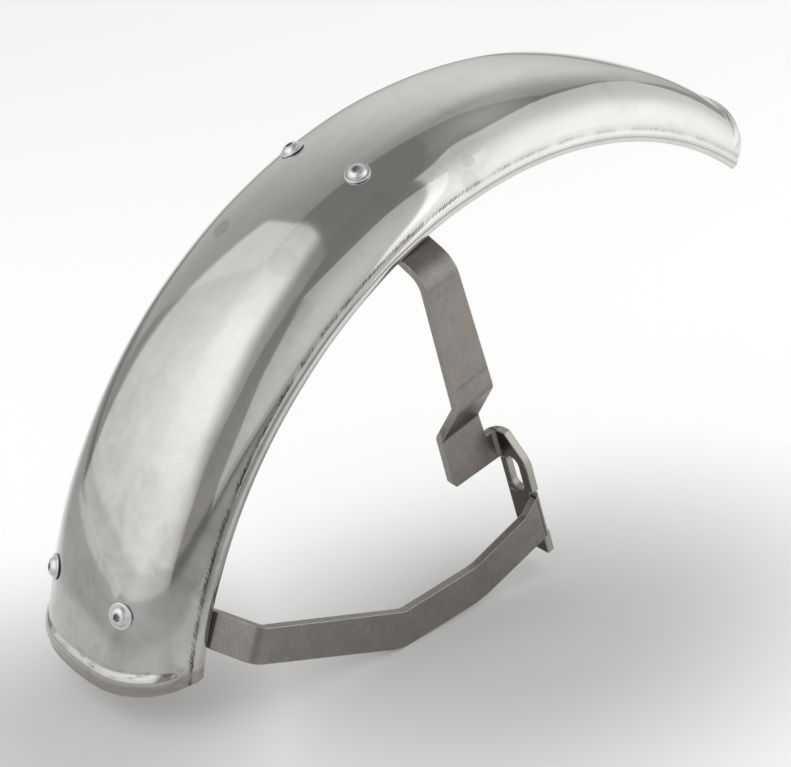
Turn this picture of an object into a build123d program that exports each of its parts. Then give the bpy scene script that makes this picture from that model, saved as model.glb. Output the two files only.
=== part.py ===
from build123d import *
import os
from math import asin, cos, degrees, radians, sin, sqrt, tan

# Motorcycle front mudguard: a polished steel blade on one folded plate bracket.
# Millimetres and degrees. +X points forward, +Y to the left, +Z up.
# The origin is the middle of the bracket's slot, on the face that seats on the fork lug.
# Angles along the blade are seen from the right side: 0 is forward of the axle, 90 above it.

# Blade section: three tangent arcs each side of the crown, measured on the outside
edge_radius = 330.0
crown_radius = 219.6
crown_angle = 7.1
shoulder_radius = 61.7
shoulder_angle = 36.6
side_radius = 40.8
sheet = 1.6

# Blade ends: the place of each corner, and how far the cut leans away from the axle line
front_angle = 58.1
front_cut_lean = 12.2
rear_angle = 171.3
rear_cut_lean = 21.2

# Border bead pressed outwards along the sides and across the ends
side_bead_width = 9.0
side_bead_rise = 0.8
end_bead_width = 13.0
end_bead_rise = 2.5

# Fixing screws, two pairs through the blade and the bracket's tabs
upper_screw_angle = 115.5
upper_screw_spacing = 69.2
lower_screw_angle = 165.5
lower_screw_spacing = 79.4
thread_diameter = 8.0
thread_length = 20.0
flange_diameter = 17.8
flange_thickness = 1.5
head_diameter = 13.6
head_height = 4.6
socket_size = 5.0
socket_depth = 2.8
hole_diameter = 9.0

# Washers and self-locking nuts under the tabs
washer_diameter = 16.0
washer_bore = 8.4
washer_thickness = 1.6
nut_size = 13.0
nut_height = 6.5
collar_diameter = 11.6
collar_height = 1.9
insert_diameter = 10.2
insert_height = 1.6
thread_clearance = 0.1
insert_clearance = 0.1
seat_gap = 0.2

# Bracket plate and its coordinates: up the slot plate, back from it, out from the wheel's mid-plane
plate = 6.0
bend_radius = 4.0
slot_plate_angle = 108.0
slot_up = 110.6
slot_out = 74.4
slot_length = 31.2
slot_width = 13.2
seat_back = 14.0

# Slot plate outline, measured from the slot where it must clear it
plate_bottom_up = 38.0
plate_top_up = 147.0
plate_inner_margin = 12.0
plate_outer_margin = 14.3
plate_top_land = 5.7
plate_chamfer_up = 22.0
plate_chamfer_round = 18.0
slit_width = 2.6

# Upper strap: its outer face from under the blade's edge down to the lower flat
strap_back = 47.4
strap_top_width = 27.8
strap_bottom_width = 38.5
strap_edge_drop = 3.7
strap_slope = 29.4
strap_run_out = 91.8
strap_bend_radius = 14.0
strap_corner_radius = 2.0
joggle_top_up = 205.5
joggle_bottom_up = 168.5
flat_inset = 10.4
flat_rear_up = 126.2
flat_front_up = 123.2
flat_chamfer_back = 2.6
flat_chamfer_up = 5.0

# Lower arm: the middle line of its outer face, and its width at both ends
arm_step_out = 3.8
arm_bend_radius = 2.0
arm_root_up = 73.0
arm_root_width = 30.5
arm_root_rise = 6.2
arm_knee_back = 88.0
arm_knee_up = 66.3
arm_elbow_back = 160.4
arm_elbow_up = 85.4
arm_end_back = 264.8
arm_end_up = 166.9
arm_end_width = 24.3
arm_splay = 3.8
arm_knee_radius = 25.0
arm_elbow_radius = 14.0
end_fold_angle = 68.0
end_fold_length = 33.0

# Tabs under the blade
tab_margin = 13.0
tab_corner_radius = 8.0
fold_lap = 3.0
leg_inset = 0.1
leg_sink = 0.6

# Values worked out from the sizes above
side_angle = 90 - crown_angle - shoulder_angle
shoulder_end = radians(crown_angle + shoulder_angle)
half_width = (
    (crown_radius - shoulder_radius) * sin(radians(crown_angle))
    + (shoulder_radius - side_radius) * sin(shoulder_end)
    + side_radius
)
crown_height = (
    crown_radius
    - (crown_radius - shoulder_radius) * cos(radians(crown_angle))
    - (shoulder_radius - side_radius) * cos(shoulder_end)
)
crown_top = edge_radius + crown_height
side_bead_angle = degrees(side_bead_width / side_radius)
outer_bend = bend_radius + plate
plate_inner_out = slot_out - plate_inner_margin
plate_outer_out = slot_out + plate_outer_margin
flat_out = slot_out - flat_inset
arm_out = plate_outer_out + arm_step_out
arm_outer_bend = arm_bend_radius + plate
tab_depth = sheet + seat_gap
out = Vector(0, -1, 0)


def direction(angle):
    """Unit vector in the wheel's plane, at an angle from straight ahead."""
    return Vector(cos(radians(angle)), 0, sin(radians(angle)))


up = direction(slot_plate_angle)
back = direction(slot_plate_angle + 90)
axle = (up * slot_up + back * seat_back + out * slot_out) * -1
axle_axis = Axis(axle, (0, 1, 0))


def at(up_from_axle, back_from_axle, out_from_middle):
    """Point given in the bracket's coordinates, which start at the axle."""
    return axle + up * up_from_axle + back * back_from_axle + out * out_from_middle


def section_plane(angle):
    """Plane through the axle line: its x runs to the left and its y away from the axle."""
    return Plane(origin=axle, x_dir=(0, 1, 0), z_dir=direction(angle - 90))


def half_section(depth, side_sweep):
    """Outer section from the crown outwards, shifted inwards by a depth."""
    crown = JernArc((0, crown_top - depth), (1, 0), crown_radius - depth, -crown_angle)
    shoulder = JernArc(crown @ 1, crown % 1, shoulder_radius - depth, -shoulder_angle)
    return JernArc(shoulder @ 1, shoulder % 1, side_radius - depth, -side_sweep)


def side_bead(start, depth):
    """Rounded border from the crease to the blade's edge."""
    lean = radians(90 - side_bead_angle / 2)
    reach = side_radius - depth + side_bead_rise
    centre_y = half_width - side_radius
    middle = (centre_y + reach * sin(lean), edge_radius + reach * cos(lean))
    return ThreePointArc(start, middle, (half_width - depth, edge_radius))


def section_angle(side):
    """Slope of the section where it is this far from the middle, on the shoulder arc."""
    crown_offset = (crown_radius - shoulder_radius) * sin(radians(crown_angle))
    return degrees(asin((side - crown_offset) / shoulder_radius))


def section_point(slope, depth):
    """Distance from the middle and from the axle line, on the shoulder arc at a slope."""
    lean = radians(crown_angle)
    centre_y = (crown_radius - shoulder_radius) * sin(lean)
    centre_r = crown_top - crown_radius + (crown_radius - shoulder_radius) * cos(lean)
    reach = shoulder_radius - depth
    return centre_y + reach * sin(radians(slope)), centre_r + reach * cos(radians(slope))


def outer_point(slope, depth):
    """Distance from the middle and from the axle line, anywhere on the section."""
    if slope <= crown_angle:
        reach = crown_radius - depth
        return reach * sin(radians(slope)), crown_top - crown_radius + reach * cos(radians(slope))
    if slope <= crown_angle + shoulder_angle:
        return section_point(slope, depth)
    reach = side_radius - depth
    side = half_width - side_radius + reach * sin(radians(slope))
    return side, edge_radius + reach * cos(radians(slope))


def screw_planes(depth):
    """Planes at the four screws, facing out of the blade, a depth below its outside."""
    rows = ((upper_screw_angle, upper_screw_spacing), (lower_screw_angle, lower_screw_spacing))
    planes = []
    for angle, spacing in rows:
        slope = section_angle(spacing / 2)
        side, reach = section_point(slope, depth)
        for hand in (-1, 1):
            normal = direction(angle) * cos(radians(slope)) + Vector(0, hand * sin(radians(slope)), 0)
            place = axle + direction(angle) * reach + Vector(0, hand * side, 0)
            planes.append(Plane(origin=place, x_dir=direction(angle - 90), z_dir=normal))
    return planes


def end_plane(angle, lean, inset):
    """Plane of an end cut, facing off the blade, with its y from the corner to the crown."""
    hand = 1 if lean > 0 else -1
    facing = direction(angle + lean + 90 * hand)
    corner = axle + direction(angle) * edge_radius - facing * inset
    return Plane(origin=corner, x_dir=Vector(0, -hand, 0), z_dir=facing)


def bead_path(plane):
    """Middle line of an end bead's round, sinking below the blade's outside near the side beads."""
    sunk = end_bead_round - end_bead_rise
    corner = plane.origin - axle
    line = corner.dot(plane.y_dir)
    points = []
    for slope in bead_slopes:
        fade = abs(slope / bead_slopes[-1]) ** bead_fade
        depth = sunk + (end_bead_rise + sheet) * fade
        side, reach = outer_point(abs(slope), depth)
        height = sqrt(line**2 + reach**2 - corner.length**2) - line
        points.append(plane.from_local_coords((side if slope > 0 else -side, height)))
    return points


# The end bead is part of a round pressed through the sheet
half_bead = end_bead_width / 2
end_bead_round = (half_bead**2 + end_bead_rise**2) / (2 * end_bead_rise)
bead_fade = 6
bead_end_slope = 90 - side_bead_angle - 4
bead_stations = 8
bead_slopes = [bead_end_slope * i / bead_stations for i in range(-bead_stations, bead_stations + 1)]
ends = ((rear_angle, rear_cut_lean), (front_angle, -front_cut_lean))
end_spare = 9.0

# Blade: the section revolved about the axle, beads pressed across its ends, ends cut, holes drilled
with BuildPart() as inside_space:
    with BuildSketch(section_plane(rear_angle + end_spare)):
        with BuildLine():
            side = half_section(sheet, side_angle)
            floor = edge_radius - 4 * end_bead_width
            Polyline(side @ 1, ((side @ 1).X, floor), (0, floor))
            mirror(about=Plane.YZ)
        make_face()
    revolve(axis=axle_axis, revolution_arc=rear_angle - front_angle + 2 * end_spare)

with BuildPart() as end_rounds:
    for angle, lean in ends:
        path = Spline(*bead_path(end_plane(angle, lean, half_bead)))
        with BuildSketch(Plane(origin=path @ 0, z_dir=path % 0)):
            Circle(end_bead_round)
        sweep(path=path)
    add(inside_space.part, mode=Mode.SUBTRACT)

with BuildPart() as end_hollows:
    for angle, lean in ends:
        path = Spline(*bead_path(end_plane(angle, lean, half_bead)))
        with BuildSketch(Plane(origin=path @ 0, z_dir=path % 0)):
            Circle(end_bead_round - sheet)
        sweep(path=path)

with BuildPart() as blade:
    with BuildSketch(section_plane(rear_angle + end_spare)):
        with BuildLine():
            outside = side_bead(half_section(0, side_angle - side_bead_angle) @ 1, 0)
            inside = side_bead(half_section(sheet, side_angle - side_bead_angle) @ 1, sheet)
            Line(outside @ 1, inside @ 1)
            mirror(about=Plane.YZ)
        make_face()
    revolve(axis=axle_axis, revolution_arc=rear_angle - front_angle + 2 * end_spare)
    add(end_rounds.part)
    add(end_hollows.part, mode=Mode.SUBTRACT)
    for angle, lean in ends:
        split(bisect_by=end_plane(angle, lean, 0), keep=Keep.BOTTOM)
    with Locations(*screw_planes(0)):
        Hole(hole_diameter / 2, depth=4 * sheet)


# Bracket: upper strap with its joggle, cut from a folded strip to its tapered outline
strap_edge_up = sqrt(edge_radius**2 - strap_back**2) - strap_edge_drop
strap_top_up = strap_edge_up - tan(radians(strap_slope)) * (strap_run_out - half_width)
strap_start_out = half_width - plate
strap_start_up = strap_edge_up + tan(radians(strap_slope)) * plate
fold_back = seat_back + plate + bend_radius
strap_taper = (strap_bottom_width - strap_top_width) / (strap_start_up - flat_rear_up) / 2


def strap_edge(height, hand):
    """Place of the strap's rear (1) or front (-1) edge at a height."""
    half = strap_top_width / 2 + strap_taper * (strap_start_up - height)
    return strap_back + hand * half, height


strap_plane = Plane(origin=at(0, 0, 0), x_dir=out, z_dir=back)
outline_plane = Plane(origin=at(0, 0, 0), x_dir=back, z_dir=(0, 1, 0))
fold_plane = Plane(origin=at(0, 0, 0), x_dir=back, z_dir=up)

with BuildPart() as strap:
    with BuildSketch(strap_plane):
        with BuildLine():
            FilletPolyline(
                (strap_start_out, strap_start_up),
                (strap_run_out, strap_top_up),
                (strap_run_out, joggle_top_up),
                (flat_out, joggle_bottom_up),
                (flat_out, plate_bottom_up),
                radius=[strap_bend_radius + plate, outer_bend, bend_radius],
            )
            offset(amount=plate, side=Side.RIGHT)
        make_face()
    extrude(amount=2 * strap_back)
    with BuildSketch(outline_plane) as strap_outline:
        with BuildLine():
            Polyline(
                strap_edge(edge_radius, -1),
                strap_edge(plate_top_up, -1),
                (fold_back, plate_top_up),
                (fold_back, flat_front_up),
                (strap_edge(flat_rear_up, 1)[0] - flat_chamfer_back, flat_rear_up),
                strap_edge(flat_rear_up + flat_chamfer_up, 1),
                strap_edge(edge_radius, 1),
                close=True,
            )
        make_face()
        inner_corner = Vector(*strap_edge(plate_top_up, -1))
        corner_round = min(strap_corner_radius, (inner_corner.X - fold_back) / 2)
        fillet(strap_outline.vertices().sort_by_distance(inner_corner)[0], corner_round)
    extrude(amount=2 * strap_run_out, both=True, mode=Mode.INTERSECT)

# Bracket: slot plate, notched where the arm folds off it
arm_root_bottom = arm_root_up - arm_root_width / 2
arm_root_top = arm_root_up + arm_root_width / 2 + arm_root_rise
notch_out = arm_out - arm_outer_bend
notch_height = arm_root_top + slit_width - arm_root_bottom
with BuildPart() as slot_plate:
    with BuildSketch(strap_plane.offset(seat_back)) as plate_outline:
        with BuildLine():
            Polyline(
                (plate_inner_out, plate_bottom_up),
                (plate_outer_out, plate_bottom_up),
                (plate_outer_out, plate_top_up - plate_chamfer_up),
                (flat_out + bend_radius + plate_top_land, plate_top_up),
                (flat_out + bend_radius, plate_top_up),
                (flat_out + bend_radius, flat_front_up),
                (plate_inner_out, flat_front_up - slit_width),
                close=True,
            )
        make_face()
        chamfer_end = Vector(plate_outer_out, plate_top_up - plate_chamfer_up)
        fillet(plate_outline.vertices().sort_by_distance(chamfer_end)[0], plate_chamfer_round)
        with Locations((slot_out, slot_up)):
            SlotOverall(slot_length, slot_width, rotation=90, mode=Mode.SUBTRACT)
        with Locations((notch_out, arm_root_bottom)):
            Rectangle(outer_bend, notch_height, align=(Align.MIN, Align.MIN), mode=Mode.SUBTRACT)
    extrude(amount=plate)

# Bracket: fold from the strap's lower flat into the slot plate
with BuildPart() as flat_fold:
    with BuildSketch(fold_plane.offset(flat_front_up)):
        with BuildLine():
            FilletPolyline(
                (fold_back + fold_lap, flat_out),
                (seat_back + plate, flat_out),
                (seat_back + plate, flat_out + bend_radius + fold_lap),
                radius=bend_radius,
            )
            offset(amount=plate, side=Side.LEFT)
        make_face()
    extrude(amount=plate_top_up - flat_front_up)

# Bracket: lower arm, folded off the slot plate, splayed at the knee and bent upwards in its own plane
arm_end_out = arm_out + tan(radians(arm_splay)) * (arm_end_back - arm_knee_back)
end_fold_setback = outer_bend * tan(radians(end_fold_angle / 2))
arm_elbow = Vector(arm_elbow_back, arm_elbow_up)
arm_end = Vector(arm_end_back, arm_end_up)
arm_line = [
    Vector(seat_back, arm_root_up),
    Vector(arm_knee_back, arm_knee_up),
    arm_elbow,
    arm_end - (arm_end - arm_elbow).normalized() * end_fold_setback,
]
arm_steps = [b - a for a, b in zip(arm_line, arm_line[1:])]
arm_length = sum(step.length for step in arm_steps)


def arm_edge(hand):
    """Upper (1) or lower (-1) edge of the arm: its middle line set off by half its tapering width."""
    points = []
    run = 0
    for i, point in enumerate(arm_line):
        before = arm_steps[max(i - 1, 0)].normalized()
        after = arm_steps[min(i, len(arm_steps) - 1)].normalized()
        half = (arm_root_width + (arm_end_width - arm_root_width) * run / arm_length) / 2
        across = Vector(-before.Y - after.Y, before.X + after.X).normalized()
        points.append(point + across * (hand * half / across.dot(Vector(-after.Y, after.X))))
        run += arm_steps[min(i, len(arm_steps) - 1)].length
    return points


with BuildPart() as arm:
    with BuildSketch(fold_plane.offset(plate_bottom_up)):
        with BuildLine():
            FilletPolyline(
                (seat_back, notch_out - fold_lap),
                (seat_back, arm_out),
                (arm_knee_back, arm_out),
                (arm_end_back, arm_end_out),
                radius=[arm_outer_bend, arm_knee_radius],
            )
            offset(amount=plate, side=Side.RIGHT)
        make_face()
    extrude(amount=arm_end_up)
    with BuildSketch(outline_plane):
        with BuildLine():
            upper_edge = arm_edge(1)
            root_top = Vector(seat_back, arm_root_top)
            root_step = Vector(seat_back + plate, arm_root_top)
            root_end = upper_edge[0] + (upper_edge[1] - upper_edge[0]).normalized() * 3 * plate
            top = FilletPolyline(
                root_top, root_step, root_end, *upper_edge[1:],
                radius=[bend_radius, bend_radius, arm_knee_radius, arm_elbow_radius],
            )
            low = FilletPolyline(
                *arm_edge(-1),
                radius=[arm_knee_radius + arm_root_width, arm_elbow_radius + arm_end_width],
            )
            Line(top @ 0, low @ 0)
            Line(top @ 1, low @ 1)
        make_face()
    extrude(amount=2 * arm_end_out, both=True, mode=Mode.INTERSECT)

# Bracket: fold at the arm's end, in towards the blade
arm_back = back * cos(radians(arm_splay)) + out * sin(radians(arm_splay))
arm_normal = out * cos(radians(arm_splay)) - back * sin(radians(arm_splay))
arm_run = (up * arm_steps[-1].Y + arm_back * (arm_steps[-1].X / cos(radians(arm_splay)))).normalized()
arm_across = arm_run.cross(arm_normal)
arm_corner = at(arm_end_up, arm_end_back, arm_end_out)
fold_run = arm_run * cos(radians(end_fold_angle)) - arm_normal * sin(radians(end_fold_angle))
fold_normal = arm_normal * cos(radians(end_fold_angle)) + arm_run * sin(radians(end_fold_angle))
with BuildPart() as end_fold:
    with BuildSketch(Plane(origin=arm_corner, x_dir=arm_run, z_dir=arm_across)):
        with BuildLine():
            FilletPolyline(
                (-end_fold_setback - fold_lap, 0),
                (0, 0),
                (
                    end_fold_length * cos(radians(end_fold_angle)),
                    -end_fold_length * sin(radians(end_fold_angle)),
                ),
                radius=outer_bend,
            )
            offset(amount=plate, side=Side.RIGHT)
        make_face()
    extrude(amount=arm_end_width / 2, both=True)


# Bracket: tabs that follow the inside of the blade, each with two screw holes and a rounded far end
def tab_slope(spacing):
    """Slope of the section at the end of a tab."""
    return section_angle(spacing / 2 + tab_margin)


def tab_line(depth, slope):
    """Section of a tab's face, from the crown out to its end."""
    crown = JernArc((0, crown_top - depth), (1, 0), crown_radius - depth, -crown_angle)
    return JernArc(crown @ 1, crown % 1, shoulder_radius - depth, crown_angle - slope)


tab_rows = (
    (upper_screw_angle, upper_screw_spacing, strap_top_width),
    (lower_screw_angle, lower_screw_spacing, arm_end_width),
)
with BuildPart() as tabs:
    for angle, spacing, width in tab_rows:
        half_turn = degrees(width / 2 / (crown_top - tab_depth))
        with BuildSketch(section_plane(angle + half_turn)):
            with BuildLine():
                top = tab_line(tab_depth, tab_slope(spacing))
                low = tab_line(tab_depth + plate, tab_slope(spacing))
                Line(top @ 1, low @ 1)
                mirror(about=Plane.YZ)
            make_face()
        revolve(axis=axle_axis, revolution_arc=2 * half_turn)
    for tab in tabs.solids():
        fillet(tab.edges().filter_by(GeomType.LINE).sort_by(Axis.Y)[-2:], tab_corner_radius)
    with Locations(*screw_planes(tab_depth)):
        Hole(hole_diameter / 2, depth=2 * plate)


def tab_end(angle, spacing, lap):
    """Plane across a tab's near end, facing along the tab to its middle, a lap inside it."""
    slope = tab_slope(spacing)
    side, reach = section_point(slope, tab_depth + plate / 2 + leg_sink)
    along = direction(angle) * sin(radians(slope)) - out * cos(radians(slope))
    place = axle + direction(angle) * reach + out * side + along * lap
    return Plane(origin=place, x_dir=direction(angle + 90), z_dir=along)


# Bracket: bent legs that carry the strap and the arm's end up to the tabs
slope_run = up * sin(radians(strap_slope)) - out * cos(radians(strap_slope))
slope_normal = up * cos(radians(strap_slope)) + out * sin(radians(strap_slope))
strap_start = at(strap_start_up, strap_back, strap_start_out) - slope_normal * (plate / 2)
fold_end = arm_corner + fold_run * end_fold_length - fold_normal * (plate / 2)
leg_thickness = plate - 2 * leg_inset
with BuildPart() as upper_leg:
    for lap in (-fold_lap, fold_lap):
        with BuildSketch(Plane(origin=strap_start + slope_run * lap, x_dir=back, z_dir=slope_run)):
            Rectangle(strap_top_width - 2 * leg_inset, leg_thickness)
    for lap in (-fold_lap, fold_lap):
        with BuildSketch(tab_end(upper_screw_angle, upper_screw_spacing, lap)):
            Rectangle(strap_top_width - 2 * leg_inset, leg_thickness)
    loft()
with BuildPart() as lower_leg:
    for lap in (-fold_lap, fold_lap):
        with BuildSketch(Plane(origin=fold_end + fold_run * lap, x_dir=arm_across * -1, z_dir=fold_run)):
            Rectangle(arm_end_width - 2 * leg_inset, leg_thickness)
    for lap in (-fold_lap, fold_lap):
        with BuildSketch(tab_end(lower_screw_angle, lower_screw_spacing, lap)):
            Rectangle(arm_end_width - 2 * leg_inset, leg_thickness)
    loft()

# Bracket: one folded plate
with BuildPart() as bracket:
    add(strap.part)
    add(flat_fold.part)
    add(slot_plate.part)
    add(arm.part)
    add(end_fold.part)
    add(upper_leg.part)
    add(lower_leg.part)
    add(tabs.part)

# Flange screw: domed head with a hexagon socket, its seat at height 0 and its thread pointing down
flange_radius = flange_diameter / 2
thread_radius = thread_diameter / 2
head_flat = socket_size / sqrt(3) + flange_thickness / 2
with BuildPart() as screw:
    with BuildSketch(Plane.XZ):
        with BuildLine():
            rim = ThreePointArc(
                (flange_radius - flange_thickness / 2, 0),
                (flange_radius, flange_thickness / 2),
                (flange_radius - flange_thickness / 2, flange_thickness),
            )
            foot = Line(rim @ 1, (head_diameter / 2, flange_thickness))
            dome = RadiusArc(foot @ 1, (head_flat, head_height), -head_height)
            Polyline(dome @ 1, (0, head_height), (0, -thread_length), (thread_radius - 1, -thread_length))
            Polyline(
                (thread_radius - 1, -thread_length),
                (thread_radius, 1 - thread_length),
                (thread_radius, 0),
                rim @ 0,
            )
        make_face()
    revolve(axis=Axis.Z)
    with BuildSketch(Plane.XY.offset(head_height)):
        RegularPolygon(socket_size / 2, 6, major_radius=False)
    extrude(amount=-socket_depth, mode=Mode.SUBTRACT)

# Plain washer, its upper face at height 0
with BuildPart() as washer:
    with BuildSketch():
        Circle(washer_diameter / 2)
        Circle(washer_bore / 2, mode=Mode.SUBTRACT)
    extrude(amount=-washer_thickness)

# Self-locking nut, its seat at height 0: chamfered hexagon, collar and a pocket for the insert
insert_bore = thread_diameter + 2 * thread_clearance
nut_corner = nut_size / sqrt(3)
with BuildPart() as nut:
    with BuildSketch():
        RegularPolygon(nut_size / 2, 6, major_radius=False)
    extrude(amount=-nut_height)
    with BuildSketch(Plane.XZ):
        with BuildLine():
            Polyline(
                (0, 0),
                (nut_size / 2, 0),
                (nut_corner, (nut_size / 2 - nut_corner) / 2),
                (nut_corner, (nut_corner - nut_size / 2) / 2 - nut_height),
                (nut_size / 2, -nut_height),
                (0, -nut_height),
                close=True,
            )
        make_face()
    revolve(axis=Axis.Z, mode=Mode.INTERSECT)
    with BuildSketch(Plane.XY.offset(-nut_height)):
        Circle(collar_diameter / 2)
    extrude(amount=-collar_height)
    with BuildSketch(Plane.XY.offset(-nut_height)):
        Circle(insert_diameter / 2 + insert_clearance)
    extrude(amount=-collar_height, mode=Mode.SUBTRACT)
    with BuildSketch():
        Circle(insert_bore / 2)
    extrude(amount=-nut_height, mode=Mode.SUBTRACT)

# Locking insert, seated in the nut's pocket
with BuildPart() as insert:
    with BuildSketch(Plane.XY.offset(-nut_height)):
        Circle(insert_diameter / 2)
        Circle(insert_bore / 2, mode=Mode.SUBTRACT)
    extrude(amount=-insert_height)

# Four sets of fasteners along the screw axes, the washers resting on their rims inside the tabs
tab_inside_radius = shoulder_radius - tab_depth - plate
washer_sag = tab_inside_radius - sqrt(tab_inside_radius**2 - (washer_diameter / 2) ** 2)
washer_depth = tab_depth + plate + washer_sag + seat_gap / 2
with BuildPart() as screws:
    with Locations(*screw_planes(0)):
        add(screw.part)
with BuildPart() as washers:
    with Locations(*screw_planes(washer_depth)):
        add(washer.part)
with BuildPart() as nuts:
    with Locations(*screw_planes(washer_depth + washer_thickness)):
        add(nut.part)
with BuildPart() as inserts:
    with Locations(*screw_planes(washer_depth + washer_thickness)):
        add(insert.part)

# Finished pieces
os.makedirs("parts", exist_ok=True)
blade.part.label = "mudguard_blade"
export_step(blade.part, "parts/mudguard_blade.step")
bracket.part.label = "mounting_bracket"
export_step(bracket.part, "parts/mounting_bracket.step")
screws.part.label = "flange_screws"
export_step(screws.part, "parts/flange_screws.step")
washers.part.label = "plain_washers"
export_step(washers.part, "parts/plain_washers.step")
nuts.part.label = "lock_nuts"
export_step(nuts.part, "parts/lock_nuts.step")
inserts.part.label = "nut_inserts"
export_step(inserts.part, "parts/nut_inserts.step")
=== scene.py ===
import math

import bpy
import numpy as np
from bpy.props import FloatProperty, FloatVectorProperty, PointerProperty
from bpy.types import Operator, Panel, PropertyGroup
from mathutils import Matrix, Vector


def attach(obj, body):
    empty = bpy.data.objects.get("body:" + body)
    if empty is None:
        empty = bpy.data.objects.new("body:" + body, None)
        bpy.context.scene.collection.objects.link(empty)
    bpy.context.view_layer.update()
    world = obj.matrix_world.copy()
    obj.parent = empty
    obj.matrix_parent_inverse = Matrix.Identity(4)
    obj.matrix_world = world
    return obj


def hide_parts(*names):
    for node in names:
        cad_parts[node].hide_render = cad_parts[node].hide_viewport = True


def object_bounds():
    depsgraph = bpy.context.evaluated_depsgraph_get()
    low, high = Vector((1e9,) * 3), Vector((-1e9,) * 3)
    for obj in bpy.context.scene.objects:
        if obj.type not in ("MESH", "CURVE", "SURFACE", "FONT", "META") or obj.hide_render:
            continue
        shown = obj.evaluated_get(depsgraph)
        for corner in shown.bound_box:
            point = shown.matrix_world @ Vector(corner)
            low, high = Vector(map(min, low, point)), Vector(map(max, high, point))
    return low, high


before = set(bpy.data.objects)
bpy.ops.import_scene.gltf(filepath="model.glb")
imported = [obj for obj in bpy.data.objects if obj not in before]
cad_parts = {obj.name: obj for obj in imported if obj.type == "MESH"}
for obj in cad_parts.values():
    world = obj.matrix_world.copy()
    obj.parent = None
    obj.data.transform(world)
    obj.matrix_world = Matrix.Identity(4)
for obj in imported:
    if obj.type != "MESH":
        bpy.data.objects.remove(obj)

bl_info = {
    "name": "Motorcycle front mudguard",
    "version": (1, 0, 0),
    "blender": (4, 5, 0),
    "location": "View3D > Sidebar > Mudguard",
    "description": "Dresses the packed mudguard in steel, zinc and nylon on a pale studio floor",
    "category": "Object",
}

CAD_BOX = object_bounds()


# Settings

def length(name, description, default):
    """A size property in metres."""
    return FloatProperty(name=name, description=description, default=default, unit="LENGTH", precision=5)


def angle(name, description, degrees):
    """An angle property, given in degrees."""
    turn = math.radians(degrees)
    return FloatProperty(name=name, description=description, default=turn, unit="ROTATION")


def colour(name, description, default):
    """A colour property."""
    return FloatVectorProperty(
        name=name, description=description, default=default, subtype="COLOR", size=3, min=0.0, max=1.0
    )


def factor(name, description, default):
    """A property from nought to one."""
    return FloatProperty(
        name=name, description=description, default=default, subtype="FACTOR", min=0.0, max=1.0
    )


class BladeSettings(PropertyGroup):
    """Sizes and finish of the blade"""

    axle: FloatVectorProperty(
        name="Axle", description="Wheel axle on the blade's mid-plane",
        default=(0.047492, 0.0744, -0.100861), subtype="XYZ", unit="LENGTH",
    )
    edge_radius: length("Edge radius", "From the axle to the blade's side edges", 0.330)
    crown_radius: length("Crown radius", "Across the middle of the blade", 0.2196)
    crown_angle: angle("Crown angle", "Slope where the crown meets the shoulder", 7.1)
    shoulder_radius: length("Shoulder radius", "Across the blade's shoulders", 0.0617)
    shoulder_angle: angle("Shoulder angle", "Turn of each shoulder", 36.6)
    side_radius: length("Side radius", "Across the blade's sides", 0.0408)
    sheet: length("Sheet", "Thickness of the steel sheet", 0.0016)
    front_angle: angle("Front angle", "Place of the front corners round the axle", 58.1)
    front_lean: angle("Front lean", "Lean of the front cut", 12.2)
    rear_angle: angle("Rear angle", "Place of the rear corners round the axle", 171.3)
    rear_lean: angle("Rear lean", "Lean of the rear cut", 21.2)
    side_bead_width: length("Side bead width", "Along the section", 0.009)
    side_bead_rise: length("Side bead rise", "Above the plain section", 0.0008)
    end_bead_width: length("End bead width", "Across the bead", 0.013)
    end_bead_rise: length("End bead rise", "Above the plain blade", 0.0025)
    upper_screw_angle: angle("Upper screws", "Place of the upper pair round the axle", 115.5)
    upper_screw_spacing: length("Upper spacing", "Between the upper screws", 0.0692)
    lower_screw_angle: angle("Lower screws", "Place of the lower pair round the axle", 165.5)
    lower_screw_spacing: length("Lower spacing", "Between the lower screws", 0.0794)
    hole_diameter: length("Hole diameter", "Screw holes through the sheet", 0.009)
    unevenness: length("Unevenness", "Height of the slow waves left by hand forming", 0.00008)
    steel: colour("Steel", "Colour of the polished sheet", (0.655, 0.646, 0.632))
    roughness: factor("Roughness", "Of the polished outside", 0.075)


class BracketSettings(PropertyGroup):
    """Finish of the bracket"""

    plate: colour("Plate", "Colour of the raw plate", (0.322, 0.304, 0.281))
    scale: colour("Mill scale", "Colour of its darker patches", (0.22, 0.205, 0.19))
    rust: colour("Tint", "Colour of its brownish patches", (0.36, 0.315, 0.275))
    roughness: factor("Roughness", "Of the raw plate", 0.40)


class FastenerSettings(PropertyGroup):
    """Finishes of the screws, washers, nuts and locking rings"""

    zinc: colour("Zinc", "Colour of the plating", (0.76, 0.772, 0.78))
    zinc_roughness: factor("Zinc roughness", "Of the plating", 0.36)
    nylon: colour("Nylon", "Colour of the locking rings", (0.72, 0.75, 0.78))


class StageSettings(PropertyGroup):
    """Floor, light and lens"""

    floor: colour("Floor", "Colour of the plain floor", (0.68, 0.68, 0.68))
    floor_reach: length("Floor reach", "Half the floor's width", 9.0)
    floor_lift: factor("Floor lift", "Light that eye and metal see on the floor behind the part", 0.52)
    lamp_level: FloatProperty(
        name="Lamp level", description="Strength of all soft boxes", default=1.0, min=0.0
    )
    world_low: factor("Room, low", "Grey of the room at the horizon", 0.40)
    world_high: factor("Room, high", "Grey of the room overhead", 0.26)
    lens: FloatProperty(
        name="Lens", description="Focal length in millimetres", default=76.55, min=1.0, unit="CAMERA"
    )


SETTINGS = {
    "mudguard_blade_settings": BladeSettings,
    "mudguard_bracket_settings": BracketSettings,
    "mudguard_fastener_settings": FastenerSettings,
    "mudguard_stage_settings": StageSettings,
}


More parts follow.
